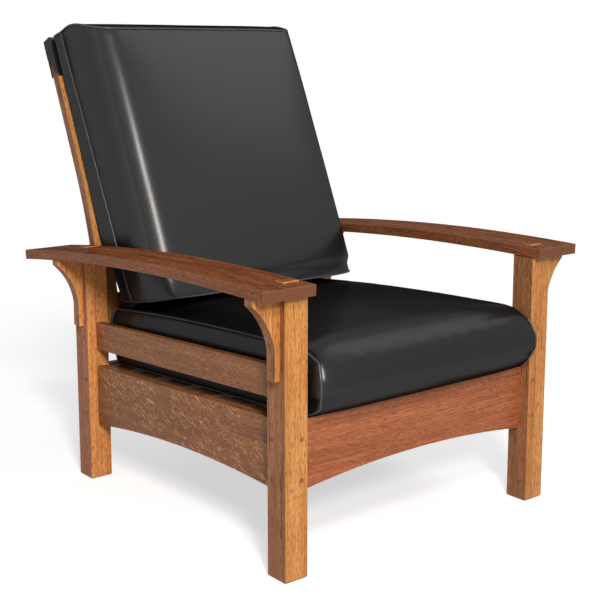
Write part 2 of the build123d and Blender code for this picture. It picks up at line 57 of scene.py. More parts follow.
# %% Camera
picture_height, straight_row = 605, 262.0
lens_pixels, sensor_size = 1207.3, 36.0
look_down, look_right = 9.952, 38.955
camera_data = bpy.data.cameras.new("studio_camera")
camera_data.sensor_fit = "VERTICAL"
camera_data.sensor_width = camera_data.sensor_height = sensor_size
camera_data.lens = lens_pixels * sensor_size / picture_height
camera_data.shift_y = (straight_row - picture_height / 2) / picture_height
camera = bpy.data.objects.new("studio_camera", camera_data)
camera.location = (-1.6952, -2.1764, 0.9968)
camera.rotation_euler = (radians(90 - look_down), 0.0, radians(-look_right))
scene.collection.objects.link(camera)
scene.camera = camera
print("lens", round(camera_data.lens, 2), "mm, shift", round(camera_data.shift_y, 4))

# %% [markdown]
# ## Colours and nodes
# Colours are noted as the hex values that a painter would pick from a screen. Blender works in
# linear light, so one function turns a hex value into linear numbers. A second one adds a shader
# node with its settings and its links, which keeps each material readable as a list of layers.

# %% Helpers for colours and nodes
def linear(hex_value):
    """Linear red, green, blue and alpha of an sRGB hex value."""
    channels = [int(hex_value[i:i + 2], 16) / 255 for i in (1, 3, 5)]
    return [c / 12.92 if c <= 0.04045 else ((c + 0.055) / 1.055) ** 2.4 for c in channels] + [1.0]


def add(tree, kind, settings=None, **links):
    """Adds a shader node. A link's value is a plain value, a socket, or a node, which stands for
    its first output. A link is named after its socket, or i and a number."""
    node = tree.nodes.new("ShaderNode" + kind)
    for name, value in (settings or {}).items():
        setattr(node, name, value)
    for name, value in links.items():
        key = int(name[1:]) if name[0] == "i" and name[1:].isdigit() else name.replace("_", " ")
        if isinstance(value, bpy.types.Node):
            value = value.outputs[0]
        if isinstance(value, bpy.types.NodeSocket):
            tree.links.new(value, node.inputs[key])
        else:
            node.inputs[key].default_value = value
    return node


def new_material(name):
    """A material with an empty node tree and its output."""
    material = bpy.data.materials.new(name)
    material.use_nodes = True
    material.node_tree.nodes.clear()
    return material, material.node_tree, add(material.node_tree, "OutputMaterial")


# often used settings
smooth_step = {"interpolation_type": "SMOOTHSTEP"}
multiply, multiply_add = {"operation": "MULTIPLY"}, {"operation": "MULTIPLY_ADD"}
print("a middle grey in linear light", round(linear("#808080")[0], 3))

# %% [markdown]
# ## Oak
# Mission furniture is made of quartersawn white oak: the boards are cut along the tree's radius, so
# the growth rings show as straight narrow stripes and the wood's rays as bright flecks that run
# across them. A face cut the other way shows a few dark arched rings instead. Stained oak is golden
# on the faces of the posts, redder on the rails and a deep brown on the arms, and end grain drinks
# the stain and turns dark. The finish is a thin wiped varnish: a satin coat, which the open pores
# break up where a face is seen almost edge on.
#
# The pattern is a stack of noises in the board's own direction. The stripes are 3 mm wide and
# 120 mm long, the pores dark dashes 1.2 mm wide and 13 mm long (real ones are 0.3 mm wide and would
# not show at this size), and the flecks 1.9 mm wide and 60 mm long, turned out of the grain.
# Every board gets a place of its own in that noise, because no two boards match.

# %% Sizes of the oak's pattern
stripe_width, stripe_length = 0.0032, 0.120
pore_width, pore_length = 0.0012, 0.013
fleck_width, fleck_length, fleck_turn = 0.0019, 0.060, -31
ring_width, ring_length, ring_count = 0.030, 0.34, 5.0
tone_width, tone_length = 0.022, 0.5
stripe_part, tone_part = 0.55, 0.45
waves_per_metre, wave_part = 16.0, 0.022
patches_per_metre = 14.0
stain_in_pores, stain_in_ends = 0.68, 0.8
eased_radius, worn_radius, worn_part = 0.0016, 0.0028, 0.30
pore_relief = 0.00025
varnish_ahead, varnish_aslant, varnish_rough = 0.45, 0.06, 0.32
axis_number = {"X": 0, "Y": 1, "Z": 2}
print("stripes across a post of 54 mm:", round(0.054 / stripe_width))

# %% Oak
satin, no_painted_shade = 0.42, "#FFFFFF"


def stretched(width, length, along):
    """Scale of a noise whose cells are length long along one axis and width wide across."""
    scale = [1 / width] * 3
    scale[axis_number[along]] = 1 / length
    return scale


def oak(name, seed, along, tilt, face, tones, flecks, rough=satin, flank_shade=no_painted_shade, bow=0):
    """Quartersawn oak. along: axis of the grain, tilt: its lean about X in degrees, face: axis
    across the face with the flecks, tones: hex values for the dark, middle and light wood, the
    pores, the flecks and the end grain, flank: painted shade, a tint that darkens the left and
    right faces."""
    material, tree, output = new_material(name)
    coordinates = add(tree, "TexCoord")
    place = coordinates.outputs["Object"]
    if bow:
        parts = add(tree, "SeparateXYZ", Vector=place)
        square = add(tree, "Math", multiply, i0=parts.outputs["Y"], i1=parts.outputs["Y"])
        rise = add(tree, "Math", multiply_add, i0=square, i1=bow, i2=parts.outputs["Z"])
        place = add(tree, "CombineXYZ", X=parts.outputs["X"], Y=parts.outputs["Y"], Z=rise)
    board = add(tree, "Mapping", Vector=place, Location=(seed * 1.7, seed * 2.3, seed * 0.9),
                Rotation=(radians(tilt), 0, 0))
    outward = add(tree, "SeparateXYZ", Vector=coordinates.outputs["Normal"])

    def looks(axis):
        """1 on the faces that look along an axis, 0 on the others."""
        size = add(tree, "Math", {"operation": "ABSOLUTE"}, i0=outward.outputs[axis])
        return add(tree, "MapRange", smooth_step, Value=size, From_Min=0.62, From_Max=0.82)

    def grain(width, length, vector=board, detail=2.0, rough_share=0.55, bend=0.2):
        """Noise drawn out along the board."""
        at = add(tree, "Mapping", Vector=vector, Scale=stretched(width, length, along))
        return add(tree, "TexNoise", Vector=at, Scale=1.0, Detail=detail,
                   Roughness=rough_share, Distortion=bend).outputs["Fac"]

    stripe = grain(stripe_width, stripe_length, detail=4.0, rough_share=0.62, bend=0.35)
    tone = grain(tone_width, tone_length, detail=3.0, rough_share=0.5, bend=0.8)
    mixed = add(tree, "Math", multiply, i0=stripe, i1=stripe_part)
    mixed = add(tree, "Math", multiply_add, i0=tone, i1=tone_part, i2=mixed)
    ramp = add(tree, "ValToRGB", Fac=mixed)
    ramp.color_ramp.elements[0].position = 0.36
    ramp.color_ramp.elements[0].color = linear(tones[0])
    ramp.color_ramp.elements[1].position = 0.64
    ramp.color_ramp.elements[1].color = linear(tones[2])
    ramp.color_ramp.elements.new(0.5).color = linear(tones[1])

    turn = [0.0, 0.0, 0.0]
    turn[axis_number[face]] = radians(fleck_turn)
    turned = add(tree, "Mapping", Vector=board, Rotation=turn)
    wavy = add(tree, "TexNoise", Vector=turned, Scale=waves_per_metre, Detail=2.0).outputs["Color"]
    bent = add(tree, "Mix", {"data_type": "VECTOR"}, Factor=wave_part, i4=turned,
               i5=wavy).outputs[1]
    patches = add(tree, "TexNoise", Vector=board, Scale=patches_per_metre,
                  Detail=1.0).outputs["Fac"]
    rings = grain(ring_width, ring_length, detail=1.0, bend=0.6)
    for operation, value in (("MULTIPLY", ring_count), ("PINGPONG", 0.5)):
        rings = add(tree, "Math", {"operation": operation}, i0=rings, i1=value)

    # each mark: the noise it comes from, the values at which it starts and is full, its strength
    marks = {}
    for mark, noise, start, full, strength in (
        ("pore", grain(pore_width, pore_length, detail=1.0, rough_share=0.4), 0.53, 0.63, 1.0),
        ("ring", rings, 0.09, 0.01, 0.75),
        ("fleck", grain(fleck_width, fleck_length, vector=bent, detail=1.0), 0.615, 0.68, flecks),
        ("patch", patches, 0.36, 0.52, 1.0),
    ):
        marks[mark] = add(tree, "MapRange", smooth_step, Value=noise, From_Min=start,
                          From_Max=full, To_Max=strength)

    # rings and flecks show on some faces only, flecks in patches, and stain fills pores and ends
    marks["stain"], marks["end"] = marks["pore"], looks(along)
    for mark, limit in (
        ("ring", looks("X" if along == "Z" else "Z")),
        ("fleck", marks["patch"]),
        ("fleck", looks(face)),
        ("stain", stain_in_pores),
        ("end", stain_in_ends),
    ):
        marks[mark] = add(tree, "Math", multiply, i0=marks[mark], i1=limit)

    # where a wide bevel turns away from the face, the edge is worn
    eased = add(tree, "Bevel", {"samples": 4}, Radius=eased_radius)
    worn = add(tree, "Bevel", {"samples": 4}, Radius=worn_radius)
    true = add(tree, "NewGeometry").outputs["True Normal"]
    bevelled = add(tree, "VectorMath", {"operation": "DOT_PRODUCT"}, i0=worn,
                   i1=true).outputs["Value"]
    edge = add(tree, "MapRange", Value=bevelled, From_Min=0.995, From_Max=0.86, To_Max=worn_part)

    colour = ramp.outputs["Color"]
    for amount, paint, way in (
        (marks["stain"], tones[3], "MIX"),
        (marks["ring"], tones[3], "MIX"),
        (marks["fleck"], tones[4], "MIX"),
        # painted shade: the left and right faces are darkened by the flank tint
        (looks("X"), flank_shade, "MULTIPLY"),
        (marks["end"], tones[5], "MIX"),
        (edge, tones[4], "MIX"),
    ):
        colour = add(tree, "Mix", {"data_type": "RGBA", "blend_type": way},
                     Factor=amount, i6=colour, i7=linear(paint)).outputs[2]

    # flecks are a little glossier than the wood around them, pores are dull and lie deeper
    gloss = rough + 0.02
    for mark, change in (("fleck", -0.12), ("pore", 0.16)):
        gloss = add(tree, "Math", multiply_add, i0=marks[mark], i1=change, i2=gloss)
    height = add(tree, "Math", multiply_add, i0=marks["pore"], i1=-1.0, i2=stripe)
    relief = add(tree, "Bump", Strength=0.5, Distance=pore_relief, Height=height, Normal=eased)
    facing = add(tree, "LayerWeight", Blend=0.5).outputs["Facing"]
    varnish = add(tree, "MapRange", Value=facing, From_Min=0.5, From_Max=0.85,
                  To_Min=varnish_ahead, To_Max=varnish_aslant)
    wood = add(tree, "BsdfPrincipled", Base_Color=colour, Roughness=gloss,
               Normal=relief, IOR=1.5, Specular_IOR_Level=0.0, Coat_Weight=varnish,
               Coat_Roughness=varnish_rough, Coat_Normal=relief)
    tree.links.new(wood.outputs[0], output.inputs["Surface"])
    return material


# %% Tones of the oak
# dark, middle and light wood, pores, flecks, end grain
post_tones = ("#B06F35", "#C98747", "#DBA05D", "#84481F", "#E2AC6E", "#6E4229")
# painted light: the rear posts' tones are the front posts' tones made lighter, standing in for
# light
rear_post_tones_painted_lighter = ("#CA7E44", "#E69A58", "#F2B070", "#92502C", "#E2AA6E", "#6E4229")
rail_tones = ("#8E4D2C", "#A75F3A", "#BC744A", "#743A22", "#CC8A5A", "#6E4229")
# partly painted shade: the side rails and side slats are browner and darker than the front and rear
# rails, partly their own quartersawn tone and partly painted shade on the chair's sides
side_board_tones_and_shade = ("#815034", "#94613D", "#A87349", "#593422", "#F0B27A", "#6E4229")
arm_tones = ("#6A3A23", "#885030", "#A0663F", "#3C2014", "#A06C4C", "#6E4229")
# partly painted shade: the deck boards are a dark brown, partly their stain and partly painted
# shade in the gap under the seat cushion
deck_stain_and_shade_tones = ("#5E422D", "#70503A", "#80604A", "#3F2B1E", "#8A6A50", "#5A4130")
# painted shade: this tint darkens the left and right faces of the posts, corbels and stiles
painted_side_shade = "#C8C5EE"
print("middle tones: posts", post_tones[1], "rails", rail_tones[1], "arms", arm_tones[1])

# %% [markdown]
# ## Give every board its wood
# Grain runs along a board, whatever way the board stands: up the posts and corbels, across the
# front and back rails, and front to back in the arms and side rails. Each wooden node gets a
# material made for its own direction, and two of the same kind differ in their place in the noise.

# %% Kinds of board
back_lean, deck_fall, stile_bend = 23.7, 3.0, 2
arm_bow = 0.085
polished, bare = 0.36, 0.60
# starts of names, grain, lean, face with flecks, tones, flecks; some: roughness, painted shade of
# the left and right faces, bow
kinds = (
    (("post_front", "corbel_front"), "Z", 0, "X", post_tones, 0.30, satin, painted_side_shade),
    (("post_rear", "corbel_rear"), "Z", 0, "X", rear_post_tones_painted_lighter, 0.30, satin, painted_side_shade),
    (("front_rail", "rear_rail"), "X", 0, "Y", rail_tones, 0.35),
    (("side_rail",), "Y", deck_fall, "X", side_board_tones_and_shade, 0.95),
    (("side_slat",), "Y", deck_fall, "X", side_board_tones_and_shade, 0.40),
    (("arm_",), "Y", 0, "Z", arm_tones, 0.30, polished, no_painted_shade, arm_bow),
    (("back_stile",), "Z", back_lean - stile_bend, "X", post_tones, 0.20, satin, painted_side_shade),
    (("back_top", "back_bottom", "back_slat"), "X", back_lean, "Y", rail_tones, 0.35),
    (("seat_slat",), "X", 0, "Z", deck_stain_and_shade_tones, 0.15, bare),
    (("seat_cleat",), "Y", 0, "Z", deck_stain_and_shade_tones, 0.15, bare),
    (("joint_pegs", "adjusting_bar", "pivot_spacer"), "X", 0, "Y", rail_tones, 0.10),
)
print(len(kinds), "kinds of board")

# %% Wood on the frame
def dress(name, material):
    """Gives a measured piece its material."""
    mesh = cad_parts[name].data
    mesh.materials.clear()
    mesh.materials.append(material)


seed_step = 0.37
boards = [(name, kind[1:]) for name in sorted(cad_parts) for kind in kinds
          if name.startswith(kind[0])]
for number, (name, kind) in enumerate(boards):
    dress(name, oak(f"quartersawn_oak_{name}", 1 + number * seed_step, *kind))
print(len(boards), "boards of oak")

# %% [markdown]
# ## Steel
# The pins of the back and of the adjusting bar, and the screws in the cleats, are plain drawn steel
# with fine turning marks. Hardly any of it shows, but it should not look like plastic up close. The
# marks are 0.6 mm apart, about twice the real ones, so that they can be seen at all.

# %% Steel pins and screws
mark_spacing, marks_along = 0.0006, 60
material, tree, output = new_material("drawn_steel")
place = add(tree, "TexCoord").outputs["Object"]
marks_at = add(tree, "Mapping", Vector=place, Scale=(1 / mark_spacing, marks_along, marks_along))
marks = add(tree, "TexNoise", Vector=marks_at, Scale=1.0, Detail=2.0).outputs["Fac"]
steel_gloss = add(tree, "MapRange", Value=marks, From_Min=0.3, From_Max=0.7,
                  To_Min=0.26, To_Max=0.46)
steel_tone = add(tree, "Mix", {"data_type": "RGBA"}, Factor=marks,
                 i6=linear("#8E8C89"), i7=linear("#BDBBB7")).outputs[2]
steel_relief = add(tree, "Bump", Strength=0.3, Distance=0.0001, Height=marks)
steel = add(tree, "BsdfPrincipled", Base_Color=steel_tone, Roughness=steel_gloss,
            Metallic=1.0, Normal=steel_relief)
tree.links.new(steel.outputs[0], output.inputs["Surface"])
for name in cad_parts:
    if name.startswith(("pivot_pin", "adjusting_pin", "cleat_screws")):
        dress(name, material)
print("steel on the pins and screws")

# %% [markdown]
# ## Leather
# The covers are finished upholstery leather: hide with a pressed pebble grain under a thin clear
# coat, so it is nearly black in its body colour and its look comes from what the coat mirrors: soft
# bright streaks where it turns towards the lamps. Seen almost edge on, the pebbles hide each other
# and break the coat's mirror up, so the coat is weaker there. The grain is 1.2 mm on the hide and
# drawn at 2.2 mm here, because 1.2 mm would be smaller than a pixel. Shallow creases show only
# close up, and a cloudy change in gloss shows where it has been rubbed. The leather over the welts
# is glossier, and it is painted a paler grey as a painted highlight along each welt.

# %% Leather
grain_size, crease_size, crease_depth = 0.0022, 0.045, 0.0005
clouds_per_metre, pulls_per_metre, pull_part = 9.0, 14.0, 0.05
coat_rough, coat_aslant = 0.29, 0.02


def leather(name, tone, shine, grain_depth, gloss, coat):
    """Black upholstery leather; tone and shine are the hex values of its dark and worn parts."""
    material, tree, output = new_material(name)
    place = add(tree, "TexCoord").outputs["Object"]
    cells = add(tree, "TexVoronoi", {"feature": "SMOOTH_F1"}, Vector=place,
                Scale=1 / grain_size, Smoothness=0.6).outputs["Distance"]
    cloud = add(tree, "TexNoise", Vector=place, Scale=clouds_per_metre, Detail=3.0,
                Roughness=0.55).outputs["Fac"]
    pull = add(tree, "TexNoise", Vector=place, Scale=pulls_per_metre, Detail=2.0).outputs["Color"]
    bent = add(tree, "Mix", {"data_type": "VECTOR"}, Factor=pull_part, i4=place, i5=pull).outputs[1]
    crease = add(tree, "TexVoronoi", {"feature": "DISTANCE_TO_EDGE"}, Vector=bent,
                 Scale=1 / crease_size).outputs["Distance"]
    crease = add(tree, "MapRange", smooth_step, Value=crease, From_Min=0.0, From_Max=0.10)
    body = add(tree, "Mix", {"data_type": "RGBA"}, Factor=cloud, i6=linear(tone),
               i7=linear(shine)).outputs[2]
    rough = add(tree, "MapRange", Value=cloud, From_Min=0.3, From_Max=0.7,
                To_Min=gloss - 0.04, To_Max=gloss + 0.04)
    fine = add(tree, "Bump", Strength=0.5, Distance=grain_depth, Height=cells)
    relief = add(tree, "Bump", Strength=0.06, Distance=crease_depth, Height=crease, Normal=fine)
    facing = add(tree, "LayerWeight", Blend=0.5).outputs["Facing"]
    film = add(tree, "MapRange", Value=facing, From_Min=0.0, From_Max=0.85, To_Min=coat,
               To_Max=coat_aslant)
    hide = add(tree, "BsdfPrincipled", Base_Color=body, Roughness=rough, Normal=relief,
               IOR=1.45, Specular_IOR_Level=0.0, Coat_Weight=film,
               Coat_Roughness=coat_rough, Coat_Normal=relief)
    tree.links.new(hide.outputs[0], output.inputs["Surface"])
    return material


cover_leather = leather("black_leather", "#131112", "#1A1819", 0.00006, 0.40, 1.0)
seat_leather = leather("black_leather_seat", "#131112", "#1A1819", 0.00006, 0.40, 0.75)
# painted highlight: the welts' leather is a paler grey than the cover's
welt_leather_painted_highlight = leather("black_leather_welt_painted_highlight", "#3A393A", "#4A4849", 0.00004, 0.25, 1.0)
print("pebbles across the seat", round(0.6 / grain_size))

# %% [markdown]
# ## A cover from six panels
# A box cushion is six cut panels sewn along their edges. The cover is made the same way, as the
# surface of a block of small squares: a point of it is known by its shares across, up and deep,
# and a function says where that point lies on the cushion. So the seams are known exactly, and
# every panel has an even net of squares, which the simulation and the gloss both like.

# %% Panels
def marks_between(length, step, edge_cells=(0.004, 0.007)):
    """Shares from 0 to 1 along a panel, closer together at its two seams."""
    inner = length - 2 * sum(edge_cells)
    count = max(2, round(inner / step))
    cells = list(edge_cells) + [inner / count] * count + list(reversed(edge_cells))
    return np.concatenate([[0.0], np.cumsum(cells) / length])


def block_cover(across, up, deep):
    """Corner shares and squares of the surface of a block, from its marks in three directions."""
    marks = (across, up, deep)
    index, shares, squares = {}, [], []

    def corner(key):
        if key not in index:
            index[key] = len(shares)
            shares.append([marks[k][key[k]] for k in range(3)])
        return index[key]

    for flat in range(3):
        first, second = [k for k in range(3) if k != flat]
        for end in (0, len(marks[flat]) - 1):
            for i in range(len(marks[first]) - 1):
                for j in range(len(marks[second]) - 1):
                    square = []
                    for di, dj in ((0, 0), (1, 0), (1, 1), (0, 1)):
                        key = [0, 0, 0]
                        key[flat], key[first], key[second] = end, i + di, j + dj
                        square.append(corner(tuple(key)))
                    outward = (end == 0) != (flat == 1)
                    squares.append(square if outward else square[::-1])
    return np.array(shares), squares, index


def rolled(near_a, near_b, radius):
    """Turns a square corner into a round one; near_a and near_b are distances from its sides."""
    inside = (near_a < radius) & (near_b < radius)
    shell = np.minimum(near_a, near_b)
    radius = np.broadcast_to(radius, np.shape(shell))
    reach = np.maximum(radius - shell, 1e-6)
    along = (np.maximum(near_a, near_b) - shell) / reach
    turn = np.where(near_a < near_b, pi / 4 * (1 - along), pi / 4 * (1 + along))
    new_a = radius - reach * np.cos(turn)
    new_b = radius - reach * np.sin(turn)
    return np.where(inside, new_a, near_a), np.where(inside, new_b, near_b)


def ripple(places, seed, lengths):
    """Uneven waves along a seam, between -1 and 1, from a few sine waves with set phases."""
    rng = np.random.default_rng(seed)
    waves = [np.sin(2 * pi * places / length + rng.uniform(0, 2 * pi)) for length in lengths]
    return sum(waves) / len(waves)


def make_piece(name, points, squares, material, smooth=True):
    """A mesh object from points and faces."""
    mesh = bpy.data.meshes.new(name)
    mesh.from_pydata([tuple(p) for p in points], [], squares)
    mesh.update()
    mesh.materials.append(material)
    for polygon in mesh.polygons:
        polygon.use_smooth = smooth
    piece = bpy.data.objects.new(name, mesh)
    scene.collection.objects.link(piece)
    return piece


def volume(points, squares):
    """Volume inside a closed net of squares, positive when its faces look outwards."""
    corners = points[np.array(squares)]
    middle = corners.mean(axis=1)
    total = 0.0
    for k in range(4):
        side = np.cross(corners[:, k], corners[:, (k + 1) % 4])
        total += np.einsum("ij,ij->i", middle, side).sum()
    return total / 6


corner_at = rolled(np.array(0.0), np.array(0.0), 0.04)
print("a corner rolled by 40 mm moves in by", [round(float(v), 4) for v in corner_at])

# %% [markdown]
# ## Seat cushion
# The seat is a box cushion whose front is one full round nose: top, nose and underside are a single
# panel, and a D-shaped panel closes each end with a welt around it. It lies on the slats, so its
# underside stays flat. Its places and sizes are those of the measured model, in metres. The crown,
# the drop of its ends and their swell are the leather's own.

# %% Form of the seat cushion
net_step = 0.0105
front_edge, deck_height = -0.4918, 0.3095
seat_half, seat_thick, seat_long = 0.300, 0.142, 0.775
seat_nose, seat_rear, seat_foot = 0.026, 0.730, 0.0004
seat_crown, seat_end_crown, rear_bulge = 0.022, 0.010, 0.006
end_drop, end_inset, end_swell = 0.010, 0.008, 0.010


def on_deck(depth, height):
    """Depth and height on the deck, which falls to the rear, as depth and height in the chair."""
    fall = radians(deck_fall)
    y = front_edge + depth * cos(fall) + height * sin(fall)
    z = deck_height - depth * sin(fall) + height * cos(fall)
    return y, z


def seat_form(shares, slim, plump):
    """Places of the seat cover; slim pulls it in all round, plump is its share of crown."""
    side, up, deep = shares.T
    across = side * 2 - 1
    drop = end_drop * np.abs(across) ** 12
    inset = end_inset * np.abs(across) ** 12 + slim
    thick = seat_thick - drop - slim
    start = seat_nose - seat_thick / 2 + inset
    long = seat_rear - inset - start
    depth = deep * long
    height = up * thick
    radius = thick / 2
    upper = height > thick / 2
    depth, from_side = rolled(depth, np.where(upper, thick - height, height), radius)
    height = np.where(upper, thick - from_side, from_side)
    crown = seat_end_crown + (seat_crown - seat_end_crown) * (1 - across**4) * plump
    run = np.clip((depth - 0.5 * radius) / (long - 0.5 * radius), 0, 1)
    height = height + crown * 4 * run * (1 - run) * up**2
    bulge = rear_bulge * np.sin(pi * up) * np.clip(deep * 8 - 7, 0, 1)
    y, z = on_deck(start + depth + bulge, seat_foot + height)
    swell = end_swell * np.sqrt(np.sin(pi * up).clip(0)) * np.abs(across) ** 20
    x = across * (seat_half - slim) + np.sign(across) * swell
    return np.stack([x, y, z], axis=1)


seat_marks = [marks_between(length, net_step) for length in (2 * seat_half, seat_thick, seat_long)]
seat_shares, seat_squares, seat_index = block_cover(*seat_marks)
print("seat cover", len(seat_shares), "points,", len(seat_squares), "squares, holds",
      round(volume(seat_form(seat_shares, 0.0, 1.0), seat_squares) * 1000, 1), "litres")

# %% [markdown]
# ## Back cushion
# The back cushion is thin at its foot and full at its head. Its front panel runs round both sides
# with a soft roll and is welted to a flat rear panel, and welts close the top and the bottom. The
# rear leans on the slats, so its shape follows the back frame, which bends at arm height.

# %% Measures of the back cushion
back_half, back_high, back_deep = 0.290, 0.670, 0.165
back_foot_y, back_foot_z = 0.0522, 0.450
back_tall, head_depth = 0.7085, 0.18417
head_start, head_rise, head_sag = 0.654, 0.14127, 0.08677
foot_rise, foot_curl = 0.01352, 0.03368
rear_heights = np.array([0.064, 0.11, 0.20, 0.33, 0.47, 0.60, 0.74, 0.86, 1.0])
rear_depths = np.array([0.98, 1.012, 1.020, 1.016, 1.014, 1.012, 1.002, 0.996, 1.0])
rear_curve = np.polyfit(rear_heights, rear_depths, 4)
left_roll, right_roll, rear_roll = 0.060, 0.010, 0.006
left_swell, right_swell, rear_flare = 0.004, 0.009, 0.0125
back_crown, rear_shoulder, front_shoulder, unplumped = 0.012, 0.0096, 0.005, 0.004
# the piping's row in the net, and how deep it lies: evenly low down, then further to the rear
piping_share = 0.79
piping_depth, piping_gain, piping_bend = 0.70, 0.17, 0.3
print("deepest at", round(float(rear_depths.max() * head_depth), 4), "m")

# %% Form of the back cushion
def on_back(height, depth):
    """Height along the cushion's front and depth behind it, as depth and height in the chair."""
    lean = radians(back_lean)
    y = back_foot_y + height * sin(lean) + depth * cos(lean)
    z = back_foot_z + height * cos(lean) - depth * sin(lean)
    return y, z


def height_on_back(up, deep, slim):
    """Height of a point of the back cover, by its share up and the depth it lies at."""
    top = head_start + head_rise * deep - head_sag * deep**2 - slim
    foot = foot_rise * deep + foot_curl * deep**2 + slim * 0.3
    return foot + up * (top - foot)


def back_form(shares, slim, plump):
    """Places of the back cover; slim pulls it in all round, plump is its share of crown."""
    side, up, row = shares.T
    across = side * 2 - 1
    piping_at = np.clip((up - piping_bend) / (1 - piping_bend), 0, 1)
    piping_at = piping_depth + piping_gain * piping_at
    lap = np.clip((row - piping_share) / (1 - piping_share), 0, 1)
    deep = np.where(row < piping_share, row * piping_at / piping_share,
                    piping_at + lap * (1 - piping_at))
    height = height_on_back(up, deep, slim)
    tall = np.clip(height / back_tall, 0, 1)
    shoulder = np.abs(across) ** 8
    rear = head_depth * np.polyval(rear_curve, tall) - rear_shoulder * shoulder
    rear = rear - slim - unplumped * (1 - plump)
    near_side = (1 - np.abs(across)) * back_half
    front_roll = np.where(across < 0, left_roll, right_roll)
    front_side, near_front = rolled(near_side, deep * rear, front_roll)
    rear_side, near_rear = rolled(near_side, (1 - deep) * rear, rear_roll)
    depth = np.where(deep < 0.5, near_front, rear - near_rear)
    moved_in = np.where(deep < 0.5, front_side, rear_side)
    swell = np.where(across < 0, left_swell, right_swell)
    swell = swell * np.sqrt(np.sin(pi * np.clip(row / piping_share, 0, 1)).clip(0))
    swell = (swell + rear_flare * lap) * np.clip(1 - near_side / 0.02, 0, 1)
    swell = swell * np.clip((up - 0.04) / 0.2, 0, 1) * np.clip(0.8 + (1 - up) / 0.04, 0, 1)
    x = np.sign(across) * (back_half - slim - moved_in + swell)
    height = height_on_back(up, np.clip(depth / rear, 0, 1), slim)
    crown = back_crown * (1 - (x / back_half) ** 2).clip(0) * 4 * up * (1 - up) * plump
    depth = depth + (slim + front_shoulder * shoulder - crown) * (1 - deep)
    y, z = on_back(height, depth)
    return np.stack([x, y, z], axis=1)


back_marks = [marks_between(length, net_step) for length in (2 * back_half, back_high, back_deep)]
back_shares, back_squares, back_index = block_cover(*back_marks)
print("back cover", len(back_shares), "points,", len(back_squares), "squares, holds",
      round(volume(back_form(back_shares, 0.0, 1.0), back_squares) * 1000, 1), "litres")

# %% [markdown]
# ## Where the seams are
# Because every point of a cover is known by its shares, a seam is simply the row of points where
# two panels meet. These rows hold the cover while it is blown up, and the welts follow them later.

# %% Seams
def seam_points(net, fixed):
    """Point numbers along one edge of a cover. Directions are 0 across, 1 up and 2 deep; fixed
    maps two of them to an end, and the edge runs in the third."""
    index, counts = net
    running = 3 - sum(fixed)
    numbers = []
    for step in range(counts[running]):
        key = [0, 0, 0]
        key[running] = step
        for direction, end in fixed.items():
            key[direction] = end * (counts[direction] - 1)
        numbers.append(index[tuple(key)])
    return numbers


def four_seams(net, first, second):
    """The four seams that run in the third direction of a cover."""
    return [seam_points(net, {first: a, second: b}) for a in (0, 1) for b in (0, 1)]


def piping_points(side):
    """Point numbers of the piping down one side of the back cushion."""
    row = int(np.abs(back_marks[2] - piping_share).argmin())
    edge = side * (len(back_marks[0]) - 1)
    return [back_index[(edge, step, row)] for step in range(len(back_marks[1]))]


seat_net = (seat_index, [len(m) for m in seat_marks])
back_net = (back_index, [len(m) for m in back_marks])
seat_seams = four_seams(seat_net, 0, 1) + four_seams(seat_net, 0, 2)
back_seams = four_seams(back_net, 1, 2) + [piping_points(0), piping_points(1)]
back_seams += four_seams(back_net, 0, 1)
print(len(seat_seams), "and", len(back_seams), "seams")

# %% [markdown]
# ## Blow the covers up
# A stuffed cushion is a cover under pressure: its panels crown, and its seams hold them back.
# Blender's cloth with an inner pressure does just that. Gravity is off, because the stuffing
# carries the cushion. No point may move further than a set cap. Afterwards the moves are evened
# out over the net, because a simulated cover is always a little lumpy.

# %% Even out a cover
def normals_of(piece):
    """Outward directions at a piece's points."""
    piece.data.update()
    return np.array([v.normal[:] for v in piece.data.vertices])


def set_places(piece, points):
    """Writes points to a piece's mesh."""
    piece.data.vertices.foreach_set("co", points.reshape(-1))
    piece.data.update()


def smoothed(piece, values, rounds, share=1.0):
    """Evens out moves or places on a cover: each round averages every point with its neighbours."""
    ends = np.array([e.vertices[:] for e in piece.data.edges])
    count = np.bincount(ends.reshape(-1), minlength=len(values))[:, None]
    for _ in range(rounds):
        total = np.zeros_like(values)
        np.add.at(total, ends[:, 0], values[ends[:, 1]])
        np.add.at(total, ends[:, 1], values[ends[:, 0]])
        values = values + (total / count - values) * 0.5 * share
    return values


# %% Blow up a cover
frames_to_run, foam_hold = 20, 0.2
# the group "held" ties every point a little to the foam, and the seams fully
stuffing = {"use_pressure": True, "uniform_pressure_force": 14.0, "quality": 4, "mass": 0.4,
            "tension_stiffness": 25, "compression_stiffness": 25, "bending_stiffness": 1.5,
            "shrink_min": -0.012, "vertex_group_mass": "held", "pin_stiffness": 1.0}


